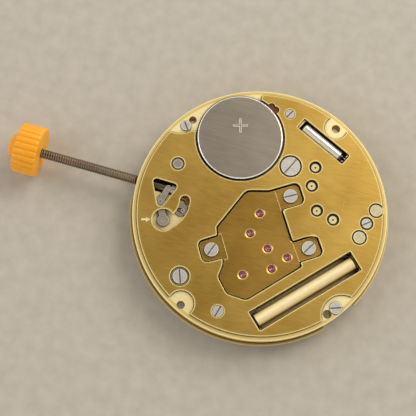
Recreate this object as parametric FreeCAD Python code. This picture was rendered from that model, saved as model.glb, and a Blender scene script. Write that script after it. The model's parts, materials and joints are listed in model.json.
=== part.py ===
import FreeCAD, Part
import math
import os
from FreeCAD import Vector

# Quartz watch movement, battery side up.
# Origin: on the movement's axis, at the level of the dial seat. +Z points to the battery side,
# the winding stem points along -X, and 6 o'clock is at -Y. All sizes are in millimetres.

# Overall sizes
casing_radius = 11.65        # wall that fits the watch case
flange_radius = casing_radius + 0.30   # dial flange, the widest diameter
flange_height = 0.35
plate_top = 1.55             # upper face of the main plate
cover_thickness = 0.20
cover_setback = 0.42         # how far the cover stays inside the casing wall
edge_bevel = 0.05
flange_cuts = ((46, 74), (140, 188), (315, 332))   # degrees, where the flange is milled away

# Clearances
pivot_gap = 0.015            # pivots in jewels
bush_gap = 0.02              # plain bearings
wheel_gap = 0.12             # between a tooth tip and a pocket wall
drop_in_gap = 0.06           # parts that drop into a pocket
opening_gap = 0.14           # bridge inside the cover's opening
level_gap = 0.05             # between wheels on neighbouring levels

# Heights of the floors
web_bottom = 0.35            # ceiling of the motion work recess
web_top = 0.55               # floor of the train pocket
bridge_bottom = 1.15
bridge_top = 1.50
bridge_ear_top = 1.36

# Silver oxide cell
cell_centre = (-3.64, 6.35)
cell_radius = 3.95
cell_height = 1.65
cell_bottom = 0.22
cell_pocket_gap = 0.10
cell_opening_gap = 0.20      # cell to the edge of the cover
can_wall = 0.15
anode_radius = cell_radius - 0.60

# Going train: bearing centres, tooth counts and levels
centre_axis = (0.0, 0.0)
reduction_axis = (-0.35, -2.03)
third_axis = (1.54, -2.94)
seconds_axis = (0.0, -5.87)
intermediate_axis = (2.38, -4.64)
rotor_axis = (3.47, -3.24)
rotor_teeth = 8
intermediate_teeth = 40
intermediate_low_teeth = 10
seconds_teeth = 60
intermediate_mid_teeth = 10
third_teeth = 64
third_pinion_teeth = 8
reduction_teeth = 60
reduction_pinion_teeth = 8
centre_teeth = 60
low_level = (0.60, 0.74)
mid_level = (0.79, 0.91)
high_level = (0.96, 1.08)
pivot_radius = 0.08
arbor_radius = 0.12
seconds_arbor_radius = 0.15
bush_radius = 0.30
jewel_radius = 0.375
jewel_height = 0.24
jewel_sink_radius = 0.51
magnet_radius = 0.60
magnet_level = (0.32, 0.70)

# Motion work on the dial side
cannon_teeth = 12
minute_wheel_teeth = 36
minute_pinion_teeth = 10
hour_wheel_teeth = 40
setting_wheel_teeth = 23
stem_wheel_teeth = 25
minute_axis = (-1.92, 0.0)
minute_level = (0.20, 0.32)
hour_level = (0.09, 0.18)
stem_wheel_top = 0.50
hour_seat_radius = 0.60
hour_pipe_end = -0.95
minute_seat_radius = 0.35
minute_pipe_end = -1.40
seconds_seat_radius = 0.125
seconds_post_end = -0.90
pipe_gap = 0.03
minute_post_radius = 0.25
setting_post_radius = 0.20
post_end = 0.075
train_cover_thickness = 0.065
train_cover_half_width = 1.35
train_cover_ends = (-6.75, -1.30)
train_cover_screws = ((-5.22, 1.00), (-3.40, -1.08))
train_cover_head_radius = 0.26
train_cover_head = 0.03

# Keyless work
stem_height = 0.85
thread_radius = 0.45
stem_bearing_radius = 0.55
stem_groove = (-8.87, -8.53)
stem_groove_radius = 0.30
stem_square = 0.50
pilot_radius = 0.20
pilot_end = -5.95
pilot_start = -7.20
pinion_ends = (-8.45, -7.55)
pinion_radius = 0.45
pinion_groove = (-8.10, -7.90)
pinion_groove_radius = 0.31
pinion_teeth = 12
yoke_shift = 0.35
lever_axis = (-9.05, -1.45)
lever_reach = 1.45
lever_half_swing = 14.0      # degrees each side of the line square to the stem
lever_tail = (-8.30, -3.05)
lever_level = (1.33, 1.45)
yoke_axis = (-6.83, -1.71)
yoke_level = (1.17, 1.27)
stud_radius = 0.20

# Crown, a plain service crown
crown_inner = -20.96
crown_length = 2.20
crown_radius = 2.32
crown_ribs = 24
crown_rib_depth = 0.12
crown_boss_radius = 0.98
crown_boss_length = 0.75

# Stepping motor
coil_centre = (5.81, -5.77)
coil_angle = 46.7
coil_radius = 0.625
coil_length = 10.30
coil_height = 0.90
core_width = 0.70
core_thickness = 0.30
core_reach = 5.90
core_foot = 0.62
coil_window = (10.80, 1.97)
stator_level = (0.42, 0.57)
stator_bore = 0.72
stator_ring = 1.05
pocket_floor = 0.22

# Electronics
board_level = (1.38, 1.50)
board_outline = (
    (2.75, 4.55, 0.3), (2.75, 7.30, 0.3), (5.60, 6.20, 0.3), (6.60, 7.60, 0.3), (7.90, 6.60, 0.4),
    (8.95, 4.60, 0.6), (8.35, 2.40, 0.8), (8.30, -0.10, 0.4), (9.30, -0.75, 0.25), (8.75, -1.55, 0.25),
    (7.30, -0.30, 0.4), (5.70, 0.25, 0.5), (4.00, 0.55, 0.4), (4.10, 3.00, 0.8), (3.05, 3.95, 0.3),
)
carrier_bottom = 0.60
test_points = ((3.78, 5.54), (3.90, 3.76), (4.94, 1.64), (6.57, 1.24))
test_pad_radius = 0.36
test_hole_radius = 0.575
chip_centre = (6.60, 3.70)
chip_size = 1.80
chip_height = 0.35
quartz_centre = (3.85, 8.15)
quartz_angle = -24.8
quartz_radius = 0.50
quartz_length = 4.50
quartz_height = 1.00
quartz_window = (5.40, 1.12)
lead_radius = 0.09

# Screws: place, head radius, head bottom and top, shank radius, shank bottom, slot angle
bridge_screw_radius = 0.64
bridge_screw_places = ((-3.34, -4.46), (2.28, 2.33), (5.13, -1.88))
bridge_screw_slots = (70, 30, 60)
ear_angle = (211, 33, 34.6)
ear_half_width = 1.05
ear_reach = 1.10
ear_corner = 0.57
ear_step = 1.20              # from the screw in to the step of the bridge
bridge_bevel = 0.08
cell_clamp_place = (1.55, 5.00)
cell_clamp_radius = 0.885
cover_screws = (              # x, y, head radius, hole radius, slot angle
    (0.20, 9.82, 0.425, 0.455, 60),
    (9.60, 1.74, 0.45, 0.62, 40),
    (-5.39, -7.62, 0.65, 0.885, 110),
    (-1.26, -9.71, 0.52, 0.55, 75),
)
foot_screws = ((-8.77, 6.07, 0.46, 125), (8.83, -6.51, 0.54, 20))
foot_holes = ((-8.32, 6.78, 0.36), (8.24, -7.25, 0.40))
jig_holes = ((4.69, 9.66, 0.40), (-4.60, -10.07, 0.375))
cover_lands = ((-9.63, 7.15, 2.06), (4.65, 9.70, 1.10), (-4.60, -9.95, 1.20), (9.60, -7.05, 1.93))
cover_pins = ((10.15, 3.14), (9.28, 0.30))
cover_pin_radius = 0.55
cover_pin_hole = 0.69
keyless_pin = (-8.47, 2.35)
keyless_pin_radius = 0.44
keyless_pin_hole = 0.62
slot_width = 0.14
slot_depth = 0.09
shank_share = 0.55           # shank radius over head radius

cover_bottom = plate_top
cover_top = plate_top + cover_thickness
cover_radius = casing_radius - cover_setback
stem_rest_swing = math.radians(lever_half_swing)

# Openings of the cover, as corners with their radii
window_body = (
    (-3.22, -3.06, 0.12), (-3.50, -2.36, 0.30), (-1.80, 1.72, 0.95), (0.22, 2.28, 0.12),
)
window_right = ((1.92, 0.84, 0.20), (3.55, -1.68, 0.10))
window_foot = (
    (4.74, -3.40, 0.10), (5.00, -3.72, 0.22), (0.95, -8.10, 0.75), (-0.95, -8.00, 0.65),
    (-2.12, -6.75, 0.50), (-2.02, -5.62, 0.20), (-2.12, -5.02, 0.12),
)
cell_notches = ((-1.18, 9.82, 0.34), (-1.62, 10.02, 0.34))
cell_lift_notch = (-1.98, 2.74, 0.45)
triangle_window = ((-9.86, 0.18), (-8.28, 0.15), (-8.97, -1.61))
triangle_corner = 0.33
comma_bulb = (-8.27, -3.06, 1.03)
comma_centre = (-9.40, -1.30)
comma_arm = (2.10, 3.02)      # inner and outer radius about that centre
comma_arm_end = 11.5          # degrees, where its round end begins


def disc(radius, low, high, at=(0.0, 0.0)):
    return Part.makeCylinder(radius, high - low, Vector(at[0], at[1], low))


def tapered(low_radius, high_radius, low, high, at=(0.0, 0.0)):
    return Part.makeCone(low_radius, high_radius, high - low, Vector(at[0], at[1], low))


def ring(outer, inner, low, high, at=(0.0, 0.0)):
    return disc(outer, low, high, at).cut(disc(inner, low, high, at))


def rod(radius, start, end, height=stem_height):
    """A cylinder along X at the stem's height."""
    return Part.makeCylinder(radius, end - start, Vector(start, 0, height), Vector(1, 0, 0))


def fused(shapes):
    whole = shapes[0]
    for shape in shapes[1:]:
        whole = whole.fuse(shape)
    return whole.removeSplitter()


def without(shape, tools):
    for tool in tools:
        shape = shape.cut(tool)
    return shape


def corner_points(before, here, after):
    """Where a corner's arc starts, its middle point and where it ends."""
    x, y, radius = here
    corner = Vector(x, y, 0)
    back = (Vector(before[0], before[1], 0) - corner).normalize()
    ahead = (Vector(after[0], after[1], 0) - corner).normalize()
    half = math.acos(max(-1.0, min(1.0, back.dot(ahead)))) / 2
    reach = radius / math.tan(half)
    inward = (back + ahead).normalize()
    middle = corner + inward * (radius / math.sin(half) - radius)
    return corner + back * reach, middle, corner + ahead * reach


def outline(corners):
    """A flat face inside straight sides that are joined by tangent arcs."""
    count = len(corners)
    arcs = [corner_points(corners[i - 1], corners[i], corners[(i + 1) % count]) for i in range(count)]
    edges = []
    for i, (start, middle, end) in enumerate(arcs):
        edges.append(Part.Arc(start, middle, end).toShape())
        edges.append(Part.LineSegment(end, arcs[(i + 1) % count][0]).toShape())
    return Part.Face(Part.Wire(edges))


def polygon(points):
    closed = [Vector(x, y, 0) for x, y in points]
    return Part.Face(Part.makePolygon(closed + closed[:1]))


def prism(face, low, high):
    raised = face.copy()
    raised.translate(Vector(0, 0, low))
    return raised.extrude(Vector(0, 0, high - low))


def grown(face, gap):
    """The same outline, moved outwards by a gap, or inwards where the gap is negative."""
    return face.makeOffset2D(gap)


def bar_face(length, width, at, angle, corner=0.0):
    """A rectangle centred on a point and turned about Z."""
    corners = [(sx * length / 2, sy * width / 2) for sx, sy in ((-1, -1), (1, -1), (1, 1), (-1, 1))]
    face = outline([(x, y, corner) for x, y in corners]) if corner else polygon(corners)
    face.rotate(Vector(0, 0, 0), Vector(0, 0, 1), angle)
    face.translate(Vector(at[0], at[1], 0))
    return face


def bar(length, width, low, high, at, angle, corner=0.0):
    return prism(bar_face(length, width, at, angle, corner), low, high)


def capsule(start, end, radius, low, high):
    length = math.dist(start, end)
    middle = ((start[0] + end[0]) / 2, (start[1] + end[1]) / 2)
    angle = math.degrees(math.atan2(end[1] - start[1], end[0] - start[0]))
    straight = bar(length, 2 * radius, low, high, middle, angle)
    return fused([straight, disc(radius, low, high, start), disc(radius, low, high, end)])


def bevelled(shape, height, size=edge_bevel):
    """Breaks the edges that lie at one height."""
    edges = [e for e in shape.Edges if abs(e.BoundBox.ZMin - height) < 1e-6 and e.BoundBox.ZLength < 1e-6]
    return shape.makeChamfer(size, edges)


def flared(face, low, top, size=edge_bevel):
    """A tool for an opening with a bevelled upper edge."""
    inner = face.OuterWire.copy()
    inner.translate(Vector(0, 0, top - size))
    outer = face.OuterWire.makeOffset2D(2 * size, 2)
    outer.translate(Vector(0, 0, top + size))
    return prism(face, low, top - size).fuse(Part.makeLoft([inner, outer], True, True))


def flared_hole(radius, low, top, at, size=edge_bevel):
    cone = Part.makeCone(radius, radius + 2 * size, 2 * size, Vector(at[0], at[1], top - size))
    return disc(radius, low, top - size, at).fuse(cone)


def topped(face, low, top, size=edge_bevel):
    """A flat part with a bevelled upper edge."""
    edge = face.OuterWire.copy()
    edge.translate(Vector(0, 0, top - size))
    inner = face.OuterWire.makeOffset2D(-size, 2)
    inner.translate(Vector(0, 0, top))
    return prism(face, low, top - size).fuse(Part.makeLoft([edge, inner], True, True)).removeSplitter()


def slotted_screw(place, head_radius, head_bottom, head_top, shank_bottom, slot_angle):
    head = disc(head_radius, head_bottom, head_top, place)
    shank = disc(head_radius * shank_share, shank_bottom, head_bottom, place)
    slot = bar(3 * head_radius, slot_width, head_top - slot_depth, head_top + slot_depth, place, slot_angle)
    return bevelled(head, head_top, 0.04).fuse(shank).removeSplitter().cut(slot)


def screw_hole(place, head_radius, bottom, top):
    return disc(head_radius * shank_share, bottom, top, place)


def toward(start, end):
    """Direction from one axis to another, in radians."""
    return math.atan2(end[1] - start[1], end[0] - start[0])


def pitch_radii(first, second, first_teeth, second_teeth):
    """Pitch radii of two gears that mesh at this centre distance."""
    distance = math.dist(first, second)
    return (
        distance * first_teeth / (first_teeth + second_teeth),
        distance * second_teeth / (first_teeth + second_teeth),
    )


def ray(centre, radius, angle):
    return centre[0] + radius * math.cos(angle), centre[1] + radius * math.sin(angle)


def toothed_face(centre, teeth, radius, tooth_at, tooth_share, tip_share=0.9):
    """A gear's outline in straight flanks. One tooth points in the direction tooth_at."""
    module = 2 * radius / teeth
    half = math.pi / teeth * tooth_share
    flank = (
        (radius - 1.25 * module, 1.30 * half),
        (radius, half),
        (radius + tip_share * module, 0.50 * half),
    )
    points = []
    for tooth in range(teeth):
        middle = tooth_at + 2 * math.pi * tooth / teeth
        for r, spread in flank:
            points.append(ray(centre, r, middle - spread))
        for r, spread in reversed(flank):
            points.append(ray(centre, r, middle + spread))
    return polygon(points)


def many_sided(centre, inner_radius, sides=12):
    """A regular polygon drawn round a circle."""
    r = inner_radius / math.cos(math.pi / sides)
    return polygon([ray(centre, r, 2 * math.pi * k / sides) for k in range(sides)])


def wheel(centre, teeth, radius, tooth_at, level, bore, arms=0):
    """A toothed wheel, with its arms crossed out where it is large enough."""
    gear = prism(toothed_face(centre, teeth, radius, tooth_at, 0.46), *level)
    gear = gear.cut(prism(many_sided(centre, bore), *level))
    rim = radius - 4.2 * radius / teeth - 0.18
    hub = bore + 0.30
    for arm in range(arms):
        middle = 2 * math.pi * (arm + 0.5) / arms
        spread = math.pi / arms
        inner = spread - 0.16 / hub
        outer = spread - 0.16 / rim
        steps = [-outer + outer * k / 3 for k in range(7)]
        points = [(rim, middle + s) for s in steps]
        points += [(hub, middle + inner), (hub, middle), (hub, middle - inner)]
        window = polygon([ray(centre, r, a) for r, a in points])
        gear = gear.cut(prism(window, *level))
    return gear


def pinion(centre, teeth, radius, gap_at, level, bore):
    """A small gear with a tooth gap in the direction gap_at."""
    tooth_at = gap_at + math.pi / teeth
    face = toothed_face(centre, teeth, radius, tooth_at, 0.44, 0.8)
    return prism(face, *level).cut(prism(many_sided(centre, bore), *level))


def arbor(centre, steps):
    """A turned shaft, as steps of (radius, bottom, top)."""
    return fused([disc(radius, low, high, centre) for radius, low, high in steps])


def write(node, solids):
    """Writes one sub-part, which may hold several separate solids."""
    shape = solids if isinstance(solids, Part.Shape) else Part.makeCompound(solids)
    shape.exportStep(f"parts/{node}.step")


def local_point(s, t):
    """A point given along and across the coil."""
    a = math.radians(coil_angle)
    x = coil_centre[0] + s * math.cos(a) - t * math.sin(a)
    y = coil_centre[1] + s * math.sin(a) + t * math.cos(a)
    return x, y


def local_outline(corners):
    return outline([(*local_point(s, t), r) for s, t, r in corners])


def rotor_in_coil_frame():
    a = math.radians(coil_angle)
    dx = rotor_axis[0] - coil_centre[0]
    dy = rotor_axis[1] - coil_centre[1]
    return dx * math.cos(a) + dy * math.sin(a), dy * math.cos(a) - dx * math.sin(a)


# Pitch radii of every gear pair
rotor_pitch, intermediate_pitch = pitch_radii(rotor_axis, intermediate_axis, rotor_teeth, intermediate_teeth)
low_pitch, seconds_pitch = pitch_radii(intermediate_axis, seconds_axis, intermediate_low_teeth, seconds_teeth)
mid_pitch, third_pitch = pitch_radii(intermediate_axis, third_axis, intermediate_mid_teeth, third_teeth)
third_low_pitch, reduction_pitch = pitch_radii(
    third_axis, reduction_axis, third_pinion_teeth, reduction_teeth
)
reduction_low_pitch, centre_pitch = pitch_radii(
    reduction_axis, centre_axis, reduction_pinion_teeth, centre_teeth
)
cannon_pitch, minute_pitch = pitch_radii(centre_axis, minute_axis, cannon_teeth, minute_wheel_teeth)
minute_low_pitch, hour_pitch = pitch_radii(minute_axis, centre_axis, minute_pinion_teeth, hour_wheel_teeth)
setting_pitch = minute_pitch * setting_wheel_teeth / minute_wheel_teeth
stem_wheel_pitch = minute_pitch * stem_wheel_teeth / minute_wheel_teeth
setting_axis = (minute_axis[0] - minute_pitch - setting_pitch, minute_axis[1])
stem_wheel_axis = (setting_axis[0] - setting_pitch - stem_wheel_pitch, minute_axis[1])


def ears_outline():
    """The opening for the train bridge: a body with three ears for the bridge's screws."""
    ears = []
    for place, angle in zip(bridge_screw_places, ear_angle):
        a = math.radians(angle)
        along = (math.cos(a), math.sin(a))
        across = (-math.sin(a), math.cos(a))
        ears.append([
            (
                place[0] + ear_reach * along[0] + side * ear_half_width * across[0],
                place[1] + ear_reach * along[1] + side * ear_half_width * across[1],
                ear_corner,
            )
            for side in (1, -1)
        ])
    left, top, right = ears
    return outline(
        window_body + tuple(top) + window_right + tuple(right) + window_foot + tuple(left)
    )


def stator_outline():
    s, t = rotor_in_coil_frame()
    r = stator_ring
    end = core_reach
    foot = core_reach - core_foot
    half = core_width / 2 + 0.15
    face = local_outline([
        (-end, -half, 0.1), (-foot, -half, 0.1), (-foot, 0.68, 0.1), (s - r - 0.2, t - r - 0.05, 0.8),
        (s + r + 0.2, t - r - 0.05, 0.8), (foot, 0.68, 0.1), (foot, -half, 0.1), (end, -half, 0.1),
        (end, 0.95, 0.3), (s + r, t + 0.2, 0.6), (s + 0.75 * r, t + r, 0.6), (s - 0.75 * r, t + r, 0.6),
        (s - r, t + 0.2, 0.6), (-end, 0.95, 0.3),
    ])
    clear = Part.makeCircle(jewel_radius + 0.15, Vector(*intermediate_axis, 0))
    return face.cut(Part.Face(Part.Wire(clear))).Faces[0]


def foot_and_jig_tools():
    return [disc(r, -1, plate_top + 1, (x, y)) for x, y, r in foot_holes + jig_holes]


def wheel_pockets():
    """Free space for the wheels, from the web up."""
    top = plate_top + 1
    sizes = (
        (centre_axis, centre_pitch), (reduction_axis, reduction_pitch), (third_axis, third_pitch),
        (seconds_axis, seconds_pitch), (intermediate_axis, intermediate_pitch),
    )
    return [disc(pitch + 0.08 + wheel_gap, web_top, top, axis) for axis, pitch in sizes]


def motion_work_recess():
    """The dial-side recess, up to the web, with room for the taller stem wheel."""
    sizes = (
        (centre_axis, hour_pitch), (minute_axis, minute_pitch),
        (setting_axis, setting_pitch), (stem_wheel_axis, stem_wheel_pitch),
    )
    discs = [disc(pitch + 0.10 + wheel_gap, -0.1, web_bottom, axis) for axis, pitch in sizes]
    tall = disc(stem_wheel_pitch + 0.10 + wheel_gap, 0, stem_wheel_top + level_gap, stem_wheel_axis)
    return discs + [tall]


def train_cover_face(gap=0.0):
    """The thin plate over the minute and setting wheels, short of the hour pipe."""
    half = train_cover_half_width + gap
    start = train_cover_ends[0] - gap
    end = train_cover_ends[1] + gap
    return outline([(start, -half, 0.45), (end, -half, 0.3), (end, half, 0.3), (start, half, 0.45)])


def keyless_pocket():
    flat = outline([
        (-10.45, 0.90, 0.3), (-7.10, 0.90, 0.3), (-6.00, -0.10, 0.4), (-6.10, -2.40, 0.6),
        (-6.90, -3.90, 0.6), (-8.90, -4.25, 0.6), (-10.05, -2.90, 0.6), (-10.60, -0.50, 0.4),
    ])
    low = yoke_level[0] - level_gap
    channel_end = pinion_ends[1] + yoke_shift + drop_in_gap + 0.04
    half = pinion_radius + 0.12
    channel = polygon([(-10.40, -half), (channel_end, -half), (channel_end, half), (-10.40, half)])
    bore_radius = stem_bearing_radius + pivot_gap * 2
    return [
        prism(flat, low, plate_top + 1),
        prism(channel, stem_height - pinion_radius - 0.07, plate_top + 1),
        rod(bore_radius, -casing_radius - 1, -10.30),
        rod(pilot_radius + bush_gap, channel_end - 0.1, pilot_end + 0.1),
    ]


def motor_pockets():
    top = plate_top + 1
    ledge = stator_level[0] - 0.02
    stator = grown(stator_outline(), drop_in_gap)
    return [
        bar(coil_length + 0.16, coil_window[1], pocket_floor, top, coil_centre, coil_angle, 0.15),
        bar(2 * core_reach + 0.12, core_width + 0.9, ledge, top, coil_centre, coil_angle, 0.15),
        prism(stator, ledge, top),
        disc(stator_bore + drop_in_gap, pocket_floor, top, rotor_axis),
    ]


def electronics_pockets():
    top = plate_top + 1
    outline_face = grown(outline(board_outline), drop_in_gap)
    return [
        prism(outline_face, carrier_bottom, top),
        bar(quartz_length + 0.5, quartz_window[1] + 0.1, quartz_height - quartz_radius - 0.05, top,
            quartz_centre, quartz_angle, 0.2),
        bar(1.5, 0.5, quartz_height - 0.2, top, lead_middle(), quartz_angle, 0.1),
    ]


def lead_middle():
    a = math.radians(quartz_angle)
    reach = quartz_length / 2 + 0.6
    return quartz_centre[0] + reach * math.cos(a), quartz_centre[1] + reach * math.sin(a)


def bored_posts():
    """Posts of the plate that carry the minute and setting wheels."""
    return [
        disc(minute_post_radius, post_end, web_bottom + 0.05, minute_axis),
        disc(setting_post_radius, post_end, web_bottom + 0.05, setting_axis),
        disc(setting_post_radius, post_end, stem_wheel_top + level_gap + 0.05, stem_wheel_axis),
    ]


def all_screw_holes():
    holes = [screw_hole(p, bridge_screw_radius, web_top + 0.05, plate_top) for p in bridge_screw_places]
    holes.append(screw_hole(cell_clamp_place, cell_clamp_radius, 0.6, plate_top))
    holes += [screw_hole((x, y), head, 0.6, plate_top) for x, y, head, _, _ in cover_screws]
    holes += [screw_hole((x, y), head, 0.6, plate_top) for x, y, head, _ in foot_screws]
    holes += [disc(cover_pin_radius * 0.7, 0.8, plate_top, p) for p in cover_pins]
    holes.append(disc(keyless_pin_radius * 0.7, 0.8, plate_top, keyless_pin))
    return holes


def main_plate():
    wall = bevelled(disc(casing_radius, 0, plate_top), plate_top, 0.10)
    flange = ring(flange_radius, casing_radius - 0.3, 0, flange_height)
    for start, end in flange_cuts:
        sector = [(0.0, 0.0)] + [
            (2 * flange_radius * math.cos(math.radians(a)), 2 * flange_radius * math.sin(math.radians(a)))
            for a in (start, (start + end) / 2, end)
        ]
        flange = flange.cut(prism(polygon(sector), -1, 1))
    plate = wall.fuse(flange).removeSplitter()
    cell = disc(cell_radius + cell_pocket_gap, cell_bottom - 0.10, plate_top + 1, cell_centre)
    bridge_room = prism(grown(ears_outline(), 0.02), bridge_bottom, plate_top + 1)
    cover_recess = prism(train_cover_face(0.03), -0.1, train_cover_thickness + 0.005)
    tools = [cell, bridge_room, cover_recess]
    tools += wheel_pockets() + motion_work_recess() + keyless_pocket() + motor_pockets()
    tools += electronics_pockets() + foot_and_jig_tools() + all_screw_holes()
    tools += [disc(jewel_radius, web_bottom - 0.1, web_top + 0.1, axis) for axis in lower_jewel_axes()]
    tools.append(disc(cell_lift_notch[2], 0.9, plate_top + 1, cell_lift_notch[:2]))
    tools.append(disc(jewel_radius, 0.03, pocket_floor + 0.1, rotor_axis))
    tools.append(disc(bush_radius, web_bottom - 0.1, web_top + 0.1, centre_axis))
    tools.append(disc(bush_radius, -0.1, web_top + 0.1, seconds_axis))
    tools += [disc(0.14, 0, 0.30, p) for p in train_cover_screws]
    plate = without(plate, tools)
    for post in bored_posts():
        plate = plate.fuse(post)
    return plate.removeSplitter()


def lower_jewel_axes():
    return reduction_axis, third_axis, intermediate_axis


def lower_jewels():
    low = web_top - jewel_height * 0.75 - 0.01
    hole = pivot_radius + pivot_gap
    jewels = [ring(jewel_radius, hole, low, web_top - 0.01, axis) for axis in lower_jewel_axes()]
    jewels.append(ring(jewel_radius, hole, 0.03, 0.20, rotor_axis))
    return jewels


def upper_jewel_axes():
    return centre_axis, reduction_axis, third_axis, seconds_axis, intermediate_axis, rotor_axis


def upper_jewels():
    low = bridge_bottom + 0.03
    hole = pivot_radius + pivot_gap
    return [ring(jewel_radius, hole, low, low + jewel_height, axis) for axis in upper_jewel_axes()]


def train_bridge():
    body = topped(grown(ears_outline(), -opening_gap), bridge_bottom, bridge_top, bridge_bevel)
    for place, angle in zip(bridge_screw_places, ear_angle):
        along = polar(place, 2.0 - ear_step, angle)
        step = bar_face(4.0, 2 * ear_half_width + 0.2, (along.x, along.y), angle)
        body = body.cut(flared(step, bridge_ear_top, bridge_top, bridge_bevel))
        body = body.cut(screw_hole(place, bridge_screw_radius, bridge_bottom - 1, bridge_top))
    for axis in upper_jewel_axes():
        body = body.cut(disc(jewel_radius, bridge_bottom - 0.1, bridge_top + 0.1, axis))
        sink = Part.makeCone(jewel_radius, jewel_sink_radius, 0.07, Vector(*axis, bridge_top - 0.07))
        body = body.cut(sink)
    return body


def bridge_screws():
    return [
        slotted_screw(p, bridge_screw_radius, bridge_ear_top, bridge_ear_top + 0.24, web_top + 0.1, angle)
        for p, angle in zip(bridge_screw_places, bridge_screw_slots)
    ]


def polar(centre, radius, degrees):
    a = math.radians(degrees)
    return Vector(centre[0] + radius * math.cos(a), centre[1] + radius * math.sin(a), 0)


def arc(centre, radius, start, end):
    middle = (start + end) / 2
    return Part.Arc(*(polar(centre, radius, a) for a in (start, middle, end))).toShape()


def crossing(radius):
    """Where a circle about the comma's centre meets the bulb: its angle here and about the bulb."""
    bulb = Vector(*comma_bulb[:2], 0)
    distance = math.dist(comma_centre, comma_bulb[:2])
    cosine = (distance ** 2 + radius ** 2 - comma_bulb[2] ** 2) / (2 * distance * radius)
    here = math.degrees(toward(comma_centre, comma_bulb[:2]) + math.acos(cosine))
    out = polar(comma_centre, radius, here) - bulb
    return here, math.degrees(math.atan2(out.y, out.x))


def comma_face():
    """The window over the setting lever's tail: a bulb with a curved arm."""
    inner, outer = comma_arm
    inner_angle, bulb_start = crossing(inner)
    outer_angle, bulb_end = crossing(outer)
    tip = polar(comma_centre, (inner + outer) / 2, comma_arm_end)
    edges = [
        arc(comma_centre, outer, outer_angle, comma_arm_end),
        arc((tip.x, tip.y), (outer - inner) / 2, comma_arm_end, comma_arm_end + 180),
        arc(comma_centre, inner, comma_arm_end, inner_angle),
        arc(comma_bulb[:2], comma_bulb[2], bulb_start, bulb_end + 360),
    ]
    return Part.Face(Part.Wire(edges))


def cell_side_face():
    """The cover stops short of the cell on the side towards the rim."""
    reach = 2 * casing_radius
    return polygon([
        cell_centre, (-8.35, 5.70), (-reach, 0.55 * reach), (-0.25 * reach, 1.2 * reach), (-2.72, 10.90),
        (-2.72, 10.45),
    ])


def cover_plate():
    plate = bevelled(disc(cover_radius, cover_bottom, cover_top), cover_top)
    low, high = cover_bottom - 0.1, cover_top
    faces = [
        cell_side_face(), ears_outline(), grown(polygon(triangle_window), triangle_corner), comma_face(),
        bar_face(coil_window[0], coil_window[1], coil_centre, coil_angle, 0.12),
        bar_face(quartz_window[0], quartz_window[1], quartz_centre, quartz_angle, 0.12),
    ]
    holes = [(cell_radius + cell_opening_gap, cell_centre), (cell_clamp_radius + 0.16, cell_clamp_place)]
    holes += [(radius, (x, y)) for x, y, radius in cover_lands]
    holes += [(radius, (x, y)) for x, y, _, radius, _ in cover_screws]
    holes += [(cover_pin_hole, p) for p in cover_pins]
    holes += [(test_hole_radius, p) for p in test_points]
    holes.append((keyless_pin_hole, keyless_pin))
    tools = [flared(face, low, high) for face in faces]
    tools += [flared_hole(radius, low, high, place) for radius, place in holes]
    tools += [disc(radius, low, high + 0.1, (x, y)) for x, y, radius in cell_notches]
    return without(plate, tools)


def cell_clamp_screw():
    return [slotted_screw(cell_clamp_place, cell_clamp_radius, plate_top, cover_top - 0.03, 0.65, 65)]


def cover_screw_set():
    return [
        slotted_screw((x, y), head, plate_top, cover_top - 0.02, 0.65, angle)
        for x, y, head, _, angle in cover_screws
    ]


def foot_screw_set():
    return [
        slotted_screw((x, y), head, plate_top, plate_top + 0.17, 0.65, angle)
        for x, y, head, angle in foot_screws
    ]


def pins(places, radius, top):
    """Pins pressed into the plate, with a head a little wider than the shank."""
    made = []
    for place in places:
        head = bevelled(disc(radius, plate_top, top, place), top, 0.05)
        made.append(head.fuse(disc(radius * 0.7, 0.85, plate_top, place)).removeSplitter())
    return made


def keyless_studs():
    low = yoke_level[0] - level_gap
    return [
        ring(stud_radius, 0.07, low, lever_level[1] + 0.06, lever_axis),
        ring(stud_radius, 0.07, low, lever_level[1], yoke_axis),
    ]


def setting_lever():
    a = stem_rest_swing
    nose = (lever_axis[0] + lever_reach * math.sin(a), lever_axis[1] + lever_reach * math.cos(a))
    body = fused([
        capsule(lever_axis, nose, 0.26, *lever_level),
        capsule(lever_axis, lever_tail, 0.30, *lever_level),
        disc(0.45, *lever_level, lever_axis),
        disc(0.52, *lever_level, lever_tail),
    ])
    post = disc((stem_groove[1] - stem_groove[0]) / 2 - 0.03, stem_height + stem_groove_radius + 0.03,
                lever_level[0], nose)
    bore = disc(stud_radius + bush_gap, lever_level[0] - 1, lever_level[1] + 1, lever_axis)
    dimple = disc(0.15, lever_level[1] - 0.05, lever_level[1] + 1, lever_tail)
    return body.fuse(post).removeSplitter().cut(bore).cut(dimple)


def yoke():
    finger_x = sum(pinion_groove) / 2
    finger = capsule((finger_x, 0.22), (finger_x, -0.75), 0.08, *yoke_level)
    arm = outline([
        (finger_x - 0.08, -0.62, 0.05), (finger_x + 0.20, -0.62, 0.05), (-7.35, -1.15, 0.25),
        (-6.66, -1.12, 0.25), (-6.49, -1.45, 0.25), (-6.49, -2.00, 0.25), (-7.05, -2.25, 0.30),
        (-7.75, -1.85, 0.4),
    ])
    plate = finger.fuse(prism(arm, *yoke_level)).removeSplitter()
    low, high = yoke_level[0] - 1, yoke_level[1] + 1
    slot_end = (yoke_axis[0] - yoke_shift, yoke_axis[1])
    return plate.cut(capsule(yoke_axis, slot_end, stud_radius + bush_gap, low, high))


def yoke_spring():
    """A copper alloy blade beside the yoke's heel, held by a round foot."""
    foot = disc(0.28, yoke_level[0] - level_gap, 1.34, (-6.62, -0.64))
    blade = bar(0.70, 0.10, yoke_level[0], 1.34, (-6.92, -0.63), 0)
    return foot.fuse(blade).removeSplitter()


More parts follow.
